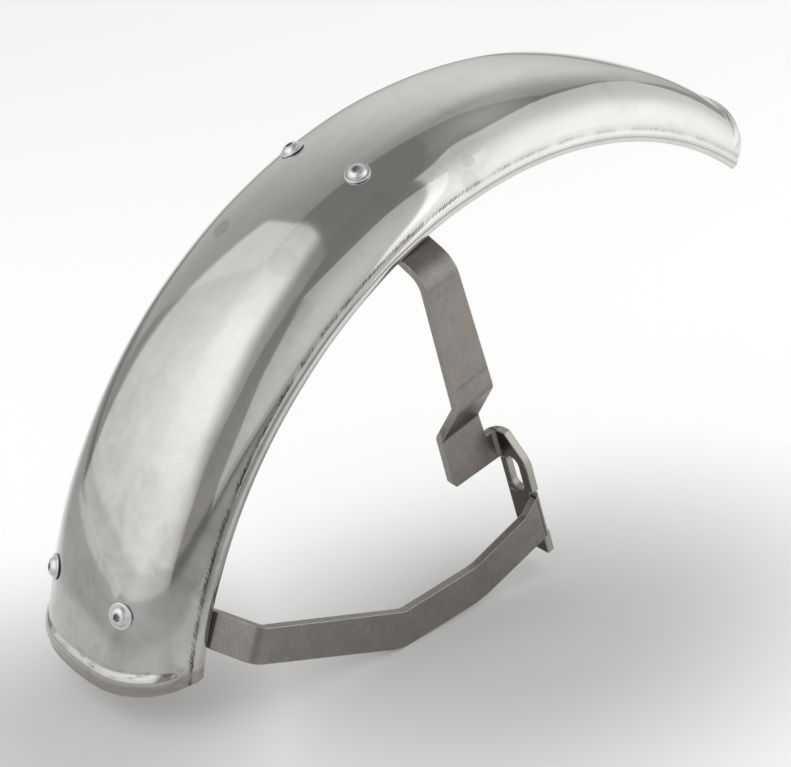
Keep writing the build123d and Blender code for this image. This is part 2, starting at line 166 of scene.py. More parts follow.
def settings(context, which):
    """The settings of one group, kept on the scene."""
    return getattr(context.scene, f"mudguard_{which}_settings")


# Shader sums

class Shade:
    """A socket of a node tree. Sums on it add Math nodes, and node() adds any other node."""

    def __init__(self, tree, socket=None):
        self.tree = tree
        self.socket = socket

    def node(self, kind, setup=None, sockets=None, output=0):
        """Adds a node: its settings first, then the values or links of its sockets."""
        made = self.tree.nodes.new(kind)
        for name, value in (setup or {}).items():
            setattr(made, name, value)
        for key, value in (sockets or {}).items():
            if isinstance(value, Shade):
                self.tree.links.new(value.socket, made.inputs[key])
            else:
                made.inputs[key].default_value = value
        return Shade(self.tree, made.outputs[output] if made.outputs else None)

    def sum(self, operation, *values):
        """One Math node."""
        return self.node("ShaderNodeMath", {"operation": operation}, dict(enumerate(values)))

    def __add__(self, other):
        return self.sum("ADD", self, other)

    __radd__ = __add__

    def __sub__(self, other):
        return self.sum("SUBTRACT", self, other)

    def __rsub__(self, other):
        return self.sum("SUBTRACT", other, self)

    def __mul__(self, other):
        return self.sum("MULTIPLY", self, other)

    __rmul__ = __mul__

    def __truediv__(self, other):
        return self.sum("DIVIDE", self, other)

    def __abs__(self):
        return self.sum("ABSOLUTE", self)

    def least(self, other):
        """The smaller of two numbers."""
        return self.sum("MINIMUM", self, other)

    def most(self, other):
        """The larger of two numbers."""
        return self.sum("MAXIMUM", self, other)

    def rise(self, low, high):
        """Smooth step up: nought at low, one at high."""
        return self.node(
            "ShaderNodeMapRange", {"interpolation_type": "SMOOTHSTEP"},
            {"Value": self, "From Min": low, "From Max": high},
        )

    def fall(self, low, high):
        """Smooth step down: one at low, nought at high."""
        return 1 - self.rise(low, high)

    def between(self, start, full, fading, end):
        """A band: smooth step up from start to full, and down from fading to end."""
        return self.rise(start, full) * self.fall(fading, end)

    def attribute(self, name):
        """A number kept on the mesh."""
        return self.node("ShaderNodeAttribute", {"attribute_name": name}, output=2)

    def place(self):
        """Object coordinates."""
        return self.node("ShaderNodeTexCoord", output=3)

    def stretched(self, scale, turn=(0.0, 0.0, 0.0)):
        """These coordinates, turned and stretched."""
        return self.node("ShaderNodeMapping", {}, {"Vector": self, "Rotation": turn, "Scale": scale})

    def noise(self, scale, detail=3.0, roughness=0.55, distortion=0.0):
        """Cloudy noise on these coordinates."""
        sockets = {"Vector": self, "Scale": scale, "Detail": detail}
        sockets.update({"Roughness": roughness, "Distortion": distortion})
        return self.node("ShaderNodeTexNoise", {}, sockets)

    def far(self, point):
        """Distance of these coordinates from a point."""
        return self.node("ShaderNodeVectorMath", {"operation": "DISTANCE"}, {0: self, 1: point}, 1)

    def along(self, direction):
        """How far these coordinates lie in a direction."""
        return self.node("ShaderNodeVectorMath", {"operation": "DOT_PRODUCT"}, {0: self, 1: direction}, 1)

    def vector(self, x, y, z):
        """A vector from three numbers."""
        return self.node("ShaderNodeCombineXYZ", {}, {"X": x, "Y": y, "Z": z})

    def mix(self, first, second):
        """From the first colour to the second by this factor."""
        opaque = [c if isinstance(c, Shade) else (*c, 1.0) for c in (first, second)]
        return self.node(
            "ShaderNodeMix", {"data_type": "RGBA"}, {"Factor": self, 6: opaque[0], 7: opaque[1]}, output=2
        )

    def bump(self, strength, distance, normal=None):
        """A normal bent by this height."""
        sockets = {"Height": self, "Strength": strength, "Distance": distance}
        if normal is not None:
            sockets["Normal"] = normal
        return self.node("ShaderNodeBump", {}, sockets)


def finish(name, build):
    """A material from a function that takes an empty Shade and gives the surface shader."""
    made = bpy.data.materials.new(name)
    made.use_nodes = True
    made.node_tree.nodes.clear()
    surface = build(Shade(made.node_tree))
    surface.node("ShaderNodeOutputMaterial", {}, {"Surface": surface})
    return made


def principled(start, **sockets):
    """A Principled shader: underscores in socket names stand for spaces."""
    return start.node(
        "ShaderNodeBsdfPrincipled", {}, {key.replace("_", " "): value for key, value in sockets.items()}
    )


def times(tint, shares):
    """A colour times one number, or times a number for each of its parts."""
    return tuple(float(part) for part in np.multiply(tuple(tint), shares))


# Blade's shape

# Steps along a side bead, across the rest of the section, and for measuring the section's length
BEAD_STEPS = 11
COLUMNS = 116
MEASURING_STEPS = 4001
# Length from cut to cut, between the crown's and the edges', by which the rows are spaced
BLADE_LENGTH = 0.745
# Rows: the length of the finer ones at each end, their number, and the number from one end's to the other's
END_LENGTH = 0.017
END_ROWS = 24
MIDDLE_ROWS = 250
# Share of the blade's length over which the forming waves die out towards each end
CALM_END = 0.06
# Slope between an end bead and the side bead's crease, and the power by which the end bead sinks there
CORNER_SLOPE = math.radians(4.0)
CORNER_POWER = 6
# How far from the blade's outside a screw's hole is looked for
HOLE_REACH = 0.02
# Angle past which an edge stays sharp
SHARP_EDGE = math.radians(50)
# Forming waves: share of the height, waves round the axle, waves over the slope, start
WAVES = (
    (1.0, 13.0, 2.1, 0.4),
    (0.8, 21.0, -3.3, 1.9),
    (0.7, 8.0, 5.0, 2.6),
    (0.5, 34.0, 6.0, 5.1),
)
# Two old knocks, on the near side and on the far side
NEAR_KNOCK = (-0.0472, 0.0074, 0.2402)
FAR_KNOCK = (-0.1789, 0.1012, 0.1995)
# Dents in the blade: place, depth and reach
DENTS = (
    (NEAR_KNOCK, 0.0008, 0.016),
    (FAR_KNOCK, 0.0001, 0.009),
)


class Section:
    """Blade's cross-section in half-widths and distances from the axle, at a depth below its outside."""

    def __init__(self, size, depth):
        self.size = size
        self.depth = depth
        self.crown_slope = size.crown_angle
        self.shoulder_slope = size.crown_angle + size.shoulder_angle
        self.crease_slope = math.pi / 2 - size.side_bead_width / size.side_radius
        crown_to_shoulder = size.crown_radius - size.shoulder_radius
        shoulder_to_side = size.shoulder_radius - size.side_radius
        self.shoulder_y = crown_to_shoulder * math.sin(self.crown_slope)
        self.side_y = self.shoulder_y + shoulder_to_side * math.sin(self.shoulder_slope)
        self.shoulder_r = size.edge_radius - shoulder_to_side * math.cos(self.shoulder_slope)
        self.crown_r = self.shoulder_r - crown_to_shoulder * math.cos(self.crown_slope)
        self.half_width = self.side_y + size.side_radius

    def point(self, slope):
        """Three tangent arcs: the arc's centre, plus its radius less the depth, at the slope."""
        steep = np.abs(slope)
        size = self.size

        def by_arc(crown, shoulder, side):
            """Picks one of three values by the arc that the slope lies on."""
            below = np.where(steep <= self.shoulder_slope, shoulder, side)
            return np.where(steep <= self.crown_slope, crown, below)

        reach = by_arc(size.crown_radius, size.shoulder_radius, size.side_radius) - self.depth
        across = by_arc(0.0, self.shoulder_y, self.side_y) + reach * np.sin(steep)
        from_axle = by_arc(self.crown_r, self.shoulder_r, size.edge_radius) + reach * np.cos(steep)
        return np.sign(slope) * across, from_axle


def bead_arc(section):
    """Side bead: the circle through its crease, its crest and the blade's edge, at even angles."""
    size = section.size
    crease_y, crease_r = section.point(np.array(section.crease_slope))
    crest = size.side_radius - section.depth + size.side_bead_rise
    lean = math.pi / 2 - size.side_bead_width / size.side_radius / 2
    points = np.array([
        [crease_y, crease_r],
        [section.side_y + crest * math.sin(lean), size.edge_radius + crest * math.cos(lean)],
        [section.half_width - section.depth, size.edge_radius],
    ], float)
    sides = 2 * (points[1:] - points[0])
    centre = np.linalg.solve(sides, (points[1:] ** 2).sum(1) - (points[0] ** 2).sum())
    spokes = points - centre
    angles = np.unwrap(np.arctan2(spokes[:, 1], spokes[:, 0]))
    sweep = np.linspace(angles[0], angles[2], BEAD_STEPS + 1)
    reach = np.linalg.norm(spokes[0])
    normal = np.stack([np.cos(sweep), np.sin(sweep)])
    return centre[:, None] + reach * normal, normal


def section_line(section, slopes):
    """Across the blade from its right edge to its left: points, their normals and the slope of each."""
    across, reach = section.point(slopes)
    normal = np.stack([np.sin(slopes), np.cos(slopes)])
    line = np.stack([across, reach])
    bead, bead_normal = (part[:, 1:] for part in bead_arc(section))
    flip = np.array([[-1.0], [1.0]])
    line = np.hstack([flip * bead[:, ::-1], line, bead])
    normal = np.hstack([flip * bead_normal[:, ::-1], normal, bead_normal])
    edge = np.full(BEAD_STEPS, math.pi / 2)
    return line, normal, np.hstack([-edge, slopes, edge])


def even_slopes(section):
    """Slopes from crease to crease, at even steps along the section."""
    dense = np.linspace(-section.crease_slope, section.crease_slope, MEASURING_STEPS)
    walked = np.cumsum(np.hypot(*np.gradient(np.stack(section.point(dense)), axis=1)))
    return np.interp(np.linspace(walked[0], walked[-1], COLUMNS + 1), walked, dense)


def cut_turn(size, hand, reach, inset):
    """Angle round the axle where a cut, moved inwards by an inset, meets a radius."""
    corner, lean = (size.rear_angle, size.rear_lean) if hand > 0 else (size.front_angle, size.front_lean)
    facing = corner + hand * (lean + math.pi / 2)
    level = -size.edge_radius * math.sin(lean) - inset
    return facing - hand * np.arccos(level / reach)


def spun(axle, turn, across, reach):
    """Points at an angle round the axle, a distance from it, and a distance to the left."""
    return np.stack([
        axle[0] + reach * np.cos(turn), axle[1] + across + 0 * turn, axle[2] + reach * np.sin(turn)
    ], -1)


def end_bead_height(size, places, normals, slopes, depth):
    """Rise of the end beads: a round pipe under each end, sinking at the corners, lifts the sheet over it.

    The rise is the way along the normal from the plain sheet to the pipe's surface, where it is outwards.
    """
    half = size.end_bead_width / 2
    pipe = (half**2 + size.end_bead_rise**2) / (2 * size.end_bead_rise)
    last = Section(size, 0.0).crease_slope - CORNER_SLOPE
    sinking = (size.end_bead_rise + size.sheet) * np.abs(slopes / last) ** CORNER_POWER
    sunk = pipe - size.end_bead_rise + sinking
    centre_across, centre_reach = Section(size, sunk).point(slopes)
    height = np.zeros(places.shape[:2])
    for hand in (-1, 1):
        turn = cut_turn(size, hand, centre_reach, half)
        spoke = places - spun(size.axle, turn, centre_across, centre_reach)[None]
        along = (spoke * normals).sum(-1)
        room = along**2 - (spoke**2).sum(-1) + (pipe - depth) ** 2
        lift = np.where(room > 0, np.sqrt(np.maximum(room, 0)) - along, 0)
        height = np.maximum(height, np.where(np.abs(slopes) < last, lift, 0))
    return height


def forming_waves(turn, slope, height):
    """Slow waves of hand forming: a few sines of the angle round the axle and the slope."""
    waves = (share * np.sin(rounds * turn + over * slope + start) for share, rounds, over, start in WAVES)
    return height * sum(waves)


def dents(places):
    """Shallow dents: the sum of bell curves of the distance from each dent's place."""
    sunk = np.zeros(places.shape[:2])
    for spot, depth, reach in DENTS:
        sunk += depth * np.exp(-((np.linalg.norm(places - np.array(spot), axis=-1) / reach) ** 2))
    return sunk


def screw_axes(size):
    """Places and directions of the four screws on the outside of the blade."""
    section = Section(size, 0.0)
    upper = (size.upper_screw_angle, size.upper_screw_spacing)
    lower = (size.lower_screw_angle, size.lower_screw_spacing)
    axes = []
    for turn, spacing in (upper, lower):
        steep = math.asin((spacing / 2 - section.shoulder_y) / size.shoulder_radius)
        for slope in (-steep, steep):
            across, reach = section.point(np.array(slope))
            outward = np.array([
                math.cos(slope) * math.cos(turn), math.sin(slope), math.cos(slope) * math.sin(turn)
            ])
            axes.append((spun(size.axle, np.array(turn), across, reach), outward))
    return axes


def blade_rows():
    """Fractions of the way from the front cut to the rear cut, finer over the end beads."""
    fine = np.linspace(0, END_LENGTH, END_ROWS)
    coarse = np.linspace(END_LENGTH, BLADE_LENGTH - END_LENGTH, MIDDLE_ROWS)[1:-1]
    return np.hstack([fine, coarse, BLADE_LENGTH - fine[::-1]]) / BLADE_LENGTH


def blade_sheet(size, depth, slopes):
    """One face of the sheet, at a depth: a grid of points, and four lengths kept on each.

    Rows run round the axle between the two cuts, columns run across the section. Each point is the
    section's point spun about the axle, moved along its normal by the end beads, the forming waves and
    the dents. The lengths are the way along the blade from its front corner, up from the side bead's
    crease, across from the middle, and in from the nearer end.
    """
    line, tilt, steep = section_line(Section(size, depth), slopes)
    fraction = blade_rows()[:, None]
    to_end = np.minimum(fraction, 1 - fraction)
    first, last = (cut_turn(size, hand, line[1], 0.0)[None] for hand in (-1, 1))
    turn = first + (last - first) * fraction
    places = spun(size.axle, turn, line[0][None], line[1][None])
    normals = np.stack([tilt[1] * np.cos(turn), tilt[0] + 0 * turn, tilt[1] * np.sin(turn)], -1)
    lift = end_bead_height(size, places, normals, steep, depth)
    calm = np.minimum(1, to_end / CALM_END)
    lift = lift + calm * forming_waves(turn, steep[None], size.unevenness) - dents(places)
    from_edge = np.hstack([0, np.cumsum(np.hypot(*np.diff(line, axis=1)))])
    across = from_edge - from_edge[-1] / 2
    along = (turn - size.front_angle) * size.edge_radius
    crease = from_edge[-1] / 2 - np.abs(across) - from_edge[BEAD_STEPS]
    lengths = np.broadcast_arrays(along, crease, across, to_end * BLADE_LENGTH)
    return places + normals * lift[..., None], np.stack(lengths, -1)


def drilled(size, sheets, quads):
    """The faces left once the screws' holes are open.

    A face goes where its corners lie, on average, within the hole's radius of the screw's axis. The points
    left round a hole move out to its circle.
    """
    radius = size.hole_diameter / 2
    opened = np.zeros(len(quads), bool)
    for place, outward in screw_axes(size):
        spoke = sheets[0] - place
        off_axis = np.linalg.norm(spoke - (spoke @ outward)[:, None] * outward, axis=1)
        near = (np.abs(spoke @ outward) < HOLE_REACH)[quads].all(1)
        hole = near & (off_axis[quads].mean(1) < radius)
        rim = np.intersect1d(quads[hole], quads[~hole])
        for sheet in sheets:
            spoke = sheet[rim] - place
            height = (spoke @ outward)[:, None] * outward
            radial = spoke - height
            radial *= radius / np.linalg.norm(radial, axis=1)[:, None]
            sheet[rim] = place + height + radial
        opened |= hole
    return quads[~opened]


def joining_walls(quads, count):
    """Quads from the borders of one sheet to the other, whose points are a count further on.

    A border is a side that only one face has.
    """
    sides = np.stack([quads, np.roll(quads, -1, 1)], -1).reshape(-1, 2)
    _, seen, times = np.unique(np.sort(sides, 1), axis=0, return_index=True, return_counts=True)
    border = sides[seen[times == 1]]
    return np.stack([border[:, 1], border[:, 0], border[:, 0] + count, border[:, 1] + count], -1)


def blade_mesh(size):
    """Blade of two sheets, closed round its edges and its screw holes.

    Gives the points, the quads, each point's four lengths, and marks for inside points and for cut quads.
    """
    slopes = even_slopes(Section(size, 0.0))
    grids, lengths = zip(*(blade_sheet(size, depth, slopes) for depth in (0.0, size.sheet)))
    rows, columns = grids[0].shape[:2]
    count = rows * columns
    index = np.arange(count).reshape(rows, columns)
    quads = np.stack([index[:-1, :-1], index[1:, :-1], index[1:, 1:], index[:-1, 1:]], -1).reshape(-1, 4)
    sheets = [grid.reshape(-1, 3) for grid in grids]
    quads = drilled(size, sheets, quads)
    walls = joining_walls(quads, count)
    used, renamed = np.unique(np.vstack([quads, quads[:, ::-1] + count, walls]), return_inverse=True)
    points = np.vstack(sheets)[used]
    tags = np.vstack([part.reshape(-1, 4) for part in lengths])[used]
    inside = np.repeat([0.0, 1.0], count)[used]
    cut = np.repeat([0.0, 1.0], [2 * len(quads), len(walls)])
    return points, renamed.reshape(-1, 4), tags, inside, cut


def smooth_mesh(name, points, quads, sharp):
    """A mesh of quads, shaded smooth, with its sharp edges kept."""
    mesh = bpy.data.meshes.new(name)
    mesh.vertices.add(len(points))
    mesh.vertices.foreach_set("co", points.astype(np.float32).ravel())
    mesh.loops.add(quads.size)
    mesh.loops.foreach_set("vertex_index", quads.astype(np.int32).ravel())
    mesh.polygons.add(len(quads))
    mesh.polygons.foreach_set("loop_start", np.arange(0, quads.size, 4, dtype=np.int32))
    mesh.update(calc_edges=True)
    mesh.validate()
    mesh.polygons.foreach_set("use_smooth", np.ones(len(mesh.polygons), bool))
    mesh.set_sharp_from_angle(angle=sharp)
    return mesh


def keep(mesh, name, values, domain="POINT"):
    """Keeps a number on each point or face of a mesh."""
    mesh.attributes.new(name, "FLOAT", domain).data.foreach_set("value", values.astype(np.float32))


# Blade's finish

# Near-black of the roller marks, painted crease shade, rear bead smears and cut edges, and what tarnish and
# painted shade leave of the steel's red, green and blue
MARK_AND_SHADE_BLACK = (0.055, 0.052, 0.048)
TARNISH_AND_SHADE = (0.47, 0.44, 0.40)
# Along the blade, where its rear part starts to tarnish and where it is fully tarnished
REAR_TARNISH = (0.40, 0.62)
# Stains on the blade: place, reach and strength
STAINS = (
    (NEAR_KNOCK, 0.0050, 0.30),
    (NEAR_KNOCK, 0.0150, 0.12),
    (FAR_KNOCK, 0.0075, 0.35),
    ((-0.1796, 0.0341, 0.1950), 0.0110, 0.14),
    ((-0.1851, 0.0107, 0.1712), 0.0090, 0.14),
    ((-0.0502, 0.0020, 0.2286), 0.0080, 0.22),
)
# How far a stain's rim wanders
STAIN_RAGGED = 0.006


def stained(place, fleck):
    """Round heat marks with ragged rims, on a faint cloudy bloom."""
    bloom = place.noise(38.0, 3.0, 0.6, 0.6).rise(0.52, 0.72) * fleck.rise(0.38, 0.62)
    wander = STAIN_RAGGED * (place.noise(90.0, 3.0, 0.6) - 0.5)
    stain = bloom * 0.10
    for spot, reach, strength in STAINS:
        stain = stain.most(strength * (place.far(spot) + wander).fall(0.7 * reach, 1.15 * reach))
    return stain


def crease_marks_and_shade(start, place, along, crease, across):
    """Slanted roller marks in the side beads' creases, darker towards the rear, with painted shade: a dark
    line along each crease and a faint dark band about it.
    """
    slant = start.vector(along * 640.0 + crease * 900.0, crease * 50.0, across.rise(-0.01, 0.01))
    strokes = slant.noise(1.0, 1.0, 0.5).rise(0.40, 0.55)
    patches = start.vector(along, across * 0.2, 0.0).noise(55.0, 2.0, 0.5).rise(0.36, 0.58)
    broken = 0.3 + 0.7 * patches
    ragged = crease + 0.0016 * (place.noise(240.0, 2.0) - 0.5)
    widening = 0.0008 * along.rise(0.35, 0.6)
    band = ragged.rise(-0.0010, -0.0004) * (ragged - widening).fall(0.0008, 0.0018)
    # painted shade: a dark line along the crease itself
    line = abs(ragged).fall(0.0002, 0.0009) * (0.2 + 0.8 * along.rise(0.3, 0.5))
    rearward = 0.45 + 0.55 * along.rise(0.16, 0.36)
    hatch_and_shade_line = (band * strokes).most(line) * broken * rearward
    # painted shade: a faint dark band about the crease
    crease_shade = crease.between(-0.0030, 0.0, 0.0005, 0.0060) * broken
    return (0.95 * hatch_and_shade_line).most(0.16 * crease_shade)


def rear_bead_smears(start, along, crease, across, end_gap):
    """Dark smears at the foot of the rear end's bead."""
    smear = start.vector(across, end_gap * 5.0, along * 0.3).noise(85.0, 4.0, 0.6).rise(0.50, 0.72)
    foot = end_gap.between(0.0110, 0.0140, 0.0145, 0.0200) * smear * crease.rise(0.001, 0.006)
    return 0.6 * foot * along.rise(0.3, 0.5)


def polished_steel(size):
    """Bare polished steel: cloudy sheen, stains, fine lines along it, roller marks and painted shade in the
    creases, painted shade at the rear, dark cut edges, dull inside.
    """

    def build(start):
        place = start.place()
        along, crease, across, end_gap, inside, cut = (
            start.attribute(name) for name in ("along", "crease", "across", "end_gap", "inside", "cut")
        )
        cloud = place.noise(9.0, 4.0, 0.6)
        fleck = place.noise(160.0, 5.0, 0.7)
        mottle = place.noise(38.0, 5.0, 0.65, 0.7).rise(0.32, 0.68)
        streak = start.vector(along * 6.0, across * 90.0, 0.0).noise(1.0, 3.0, 0.6).rise(0.3, 0.7)
        lines = start.vector(along * 0.03, across, 0.0).noise(900.0, 2.0, 0.5)
        stain = stained(place, fleck)
        dark_marks_and_shade = crease_marks_and_shade(start, place, along, crease, across)
        # dark smears at the rear bead's foot, and the cut edges darkened nearly to black
        dark_marks_and_shade = dark_marks_and_shade.most(rear_bead_smears(start, along, crease, across, end_gap)).most(0.75 * cut)

        # tarnish: cloudy all over and stronger at the rear; painted shade darkens the rear's lower sides
        # and side beads, and with tarnish the rear bead
        rear = along.rise(*REAR_TARNISH)
        rear_side_shade = along.rise(0.40, 0.58) * crease.fall(0.004, 0.022) * (0.5 + 0.5 * mottle)
        rear_bead_tarnish_and_shade = rear * end_gap.fall(0.0060, 0.0130)
        tone = 0.08 * (1 - cloud) + 0.06 * (fleck - 0.5) + (0.06 + 0.22 * rear) * mottle + 0.08 * streak
        tone = tone + stain + 0.25 * inside + 0.25 * rear_side_shade + 0.55 * rear_bead_tarnish_and_shade
        steel = tuple(size.steel)
        base = dark_marks_and_shade.mix(tone.mix(steel, times(steel, TARNISH_AND_SHADE)), MARK_AND_SHADE_BLACK)
        rough = size.roughness + 0.06 * (cloud - 0.45) + 0.03 * (fleck - 0.5)
        rough = rough + 0.28 * inside + 0.3 * dark_marks_and_shade + 0.3 * stain
        normal = lines.bump(0.02, 0.0002)
        return principled(start, Base_Color=base, Metallic=1.0, Roughness=rough, Normal=normal)

    return finish("polished_steel", build)


class MUDGUARD_OT_blade(Operator):
    """Makes the polished blade from its section and its two cuts"""

    bl_idname = "mudguard.blade"
    bl_label = "Make the blade"

    def execute(self, context):
        size = settings(context, "blade")
        points, quads, tags, inside, cut = blade_mesh(size)
        mesh = smooth_mesh("polished_blade", points, quads, SHARP_EDGE)
        for column, name in enumerate(("along", "crease", "across", "end_gap")):
            keep(mesh, name, tags[:, column])
        keep(mesh, "inside", inside)
        keep(mesh, "cut", cut, "FACE")
        mesh.materials.append(polished_steel(size))
        blade = bpy.data.objects.new("polished_blade", mesh)
        context.scene.collection.objects.link(blade)
        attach(blade, "root")
        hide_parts("mudguard_blade")
        return {"FINISHED"}


# Bracket and fasteners

# Directions up the slot plate, back from its seat and to the left, and the plate's thickness
PLATE_UP = (-0.309017, 0.0, 0.951057)
PLATE_BACK = (-0.951057, 0.0, -0.309017)
PLATE_LEFT = (0.0, 1.0, 0.0)
SLOT_PLATE = 0.006
# Radius by which the light rounds the bracket's edges
EDGE_ROUNDING = 0.0011
# Marks of the folding press: the direction they lie across, the distance along it, reach and strength
PRESS_MARKS = (
    (PLATE_UP, 0.1854, 0.0007, 0.35),
    (PLATE_UP, 0.1872, 0.0006, 0.20),
    (PLATE_UP, 0.1122, 0.0012, 0.45),
    (PLATE_BACK, 0.0160, 0.0006, 0.35),
)
# Height of a screw's socket above the blade, and how far from there its painted shade fades out
SOCKET_HEIGHT = 0.0022
SOCKET_SHADE_FADE = (0.0026, 0.0036)


def dress(node, material):
    """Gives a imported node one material."""
    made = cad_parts[node].data.materials
    made.clear()
    made.append(material)


def press_marks(place):
    """Straight marks: each is darkest on its own line and fades out at its reach."""
    lines = [
        strength * abs(place.along(direction) - distance).fall(0.2 * reach, reach)
        for direction, distance, reach, strength in PRESS_MARKS
    ]
    marks = lines[0]
    for line in lines[1:]:
        marks = marks.most(line)
    return marks


def raw_plate(look):
    """Mill-finish plate: brown-grey patches, grain, thin scratches, press marks, edges lightened by wear
    and a painted highlight, and painted shade on the slot plate's inner face and under the joggle.
    """

    def build(start):
        place = start.place()
        patch = place.noise(24.0, 4.0, 0.6, 0.5)
        cloud = place.noise(75.0, 4.0, 0.65)
        grain = place.noise(700.0, 3.0, 0.7)
        scratch = place.stretched((70.0, 70.0, 2200.0), (0.3, 0.9, 0.0)).noise(1.0, 2.0, 0.5)
        scratch = scratch.rise(0.66, 0.72)
        scrape = place.stretched((1800.0, 50.0, 50.0), (0.0, 0.5, 0.2)).noise(1.0, 2.0, 0.5)
        scrape = scrape.rise(0.67, 0.72)

        # normals rounded at the edges, and where they turn, wear and a painted highlight
        rounded = start.node("ShaderNodeBevel", {"samples": 8}, {"Radius": EDGE_ROUNDING})
        plain = start.node("ShaderNodeNewGeometry", {}, {}, "Normal")
        turned = 1 - rounded.along(plain)
        edge_wear_and_highlight = turned.rise(0.01, 0.16) * (0.5 + 0.5 * cloud.rise(0.35, 0.6))

        # painted shade: the slot plate's inner face and the strap under the joggle darkened nearly to
        # black, where shade falls
        up, back, left = (place.along(axis) for axis in (PLATE_UP, PLATE_BACK, PLATE_LEFT))
        inner = abs(back - SLOT_PLATE).fall(0.0003, 0.0009) * left.fall(0.014, 0.020)
        under = up.between(0.056, 0.060, 0.068, 0.094) * left.between(-0.0165, -0.0150, 0.0085, 0.0095)
        under = under * back.fall(0.08, 0.10)
        painted_shade = (0.95 * inner).most(0.5 * under)

        # bare metal on the slot plate's cut edges
        bare = back.between(0.0004, 0.0009, SLOT_PLATE - 0.0009, SLOT_PLATE - 0.0004)
        bare = bare * left.between(-0.0166, -0.0160, 0.0085, 0.0095)

        # press marks on the bracket's outer faces alone
        press = press_marks(place) * left.fall(-0.0172, -0.0162) * (0.5 + 0.5 * cloud.rise(0.4, 0.6))

        dull = tuple(look.scale)
        brown = (patch.rise(0.50, 0.72) * 0.7).mix(tuple(look.plate), tuple(look.rust))
        mottled = (0.35 * cloud.rise(0.35, 0.70) + 0.45 * grain.rise(0.35, 0.65)).mix(brown, dull)
        marked = (press + 0.3 * scratch).mix(mottled, times(dull, 0.6))
        # painted shade mixed into the colour, a little less on the edges
        black = (painted_shade * (1 - 0.6 * edge_wear_and_highlight)).mix(marked, times(dull, 0.22))
        # edges lightened by wear and a painted highlight, with bright scrapes and bare cut edges
        base = (0.6 * edge_wear_and_highlight + 0.25 * scrape).most(0.45 * bare).mix(black, times(look.plate, 2.3))
        rough = look.roughness + 0.14 * (patch - 0.5) + 0.10 * (grain - 0.5) - 0.08 * edge_wear_and_highlight
        normal = (grain + 0.5 * scratch).bump(0.05, 0.0004, rounded)
        return principled(start, Base_Color=base, Metallic=1.0, Roughness=rough, Normal=normal)

    return finish("raw_plate", build)


class MUDGUARD_OT_bracket(Operator):
    """Gives the folded bracket its raw plate finish"""

    bl_idname = "mudguard.bracket"
    bl_label = "Finish the bracket"

    def execute(self, context):
        dress("mounting_bracket", raw_plate(settings(context, "bracket")))
        return {"FINISHED"}


def zinc_plated(look, sockets):
    """Bright zinc: silver with a faint frosting, with painted shade down in the screws' sockets."""

    def build(start):
        place = start.place()
        frost = place.noise(260.0, 3.0, 0.6)
        gap = place.far(sockets[0])
        for spot in sockets[1:]:
            gap = gap.least(place.far(spot))
        zinc = tuple(look.zinc)
        frosted = frost.rise(0.3, 0.8).mix(zinc, times(zinc, 0.92))
        # painted shade: darker close to a point inside each socket
        base = (0.42 * gap.fall(*SOCKET_SHADE_FADE)).mix(frosted, times(zinc, 0.12))
        rough = look.zinc_roughness + 0.08 * (frost - 0.5)
        normal = frost.bump(0.015, 0.0002)
        return principled(start, Base_Color=base, Metallic=1.0, Roughness=rough, Normal=normal)

    return finish("zinc_plated", build)


def nylon(look):
    """Pale nylon with a faint grain."""

    def build(start):
        grain = start.place().noise(500.0, 2.0, 0.5)
        tint = tuple(look.nylon)
        base = grain.rise(0.3, 0.7).mix(tint, times(tint, 0.92))
        rough = 0.45 + 0.1 * grain
        return principled(start, Base_Color=base, Roughness=rough, Normal=grain.bump(0.04, 0.0002))

    return finish("nylon", build)


class MUDGUARD_OT_fasteners(Operator):
    """Gives the screws, washers, nuts and locking rings their finishes"""

    bl_idname = "mudguard.fasteners"
    bl_label = "Finish the fasteners"

    def execute(self, context):
        look = settings(context, "fastener")
        axes = screw_axes(settings(context, "blade"))
        plating = zinc_plated(look, [tuple(place + SOCKET_HEIGHT * outward) for place, outward in axes])
        for node in ("flange_screws", "plain_washers", "lock_nuts"):
            dress(node, plating)
        dress("nut_inserts", nylon(look))
        return {"FINISHED"}


# Stage

# Soft boxes: the middle, the azimuth and elevation that each faces from, its size, its brightness at the
# rim and at the bright spot, the spot's place across and up, its spread, and the lean of the far side
SOFT_BOXES = {
    "left": dict(
        middle=(-0.855, 0.498, 0.786), azimuth=-92.9, elevation=18.9, width=2.36, height=1.87,
        rim=0.47, peak=1.15, spot=(0.70, 0.50), spread=0.37, lean=0.27,
    ),
    "front": dict(
        middle=(2.044, 0.142, 0.984), azimuth=29.0, elevation=4.9, width=4.18, height=1.95,
        rim=0.45, peak=1.12, spot=(0.18, 0.28), spread=0.32,
    ),
    "far_side": dict(
        middle=(1.20, 2.40, 2.30), azimuth=155.0, elevation=28.0, width=6.00, height=4.20,
        rim=0.13, peak=0.60, spot=(0.38, 0.40), spread=0.34,
    ),
    "near_fill": dict(
        middle=(-0.127, -1.06, 0.57), azimuth=-4.0, elevation=23.0, width=1.12, height=1.28,
        rim=0.27, peak=0.45, spot=(0.5, 0.5), spread=0.50,
    ),
    "front_top": dict(
        middle=(0.558, -0.013, 1.47), azimuth=85.0, elevation=66.0, width=1.10, height=0.70,
        rim=0.03, peak=0.25, spot=(0.5, 0.5), spread=0.35,
    ),
    "low_card": dict(
        middle=(-0.988, 0.80, -0.0805), azimuth=-93.0, elevation=-89.5, width=0.98, height=0.324,
        rim=0.24, peak=0.25, spot=(0.5, 0.5), spread=0.50,
    ),
}
# What a leaning side takes off a soft box, and where across the box that sets in
LEAN_LOSS = 0.8
LEAN_FADE = (0.90, 1.10)
# Colours of the lamps' light and of the room's
LAMP_TINT = (0.985, 0.992, 1.0)
ROOM_TINT = (1.0, 0.982, 0.950)
# Height, as the sine of the elevation, at which the room has its overhead grey
ROOM_TOP = 0.94

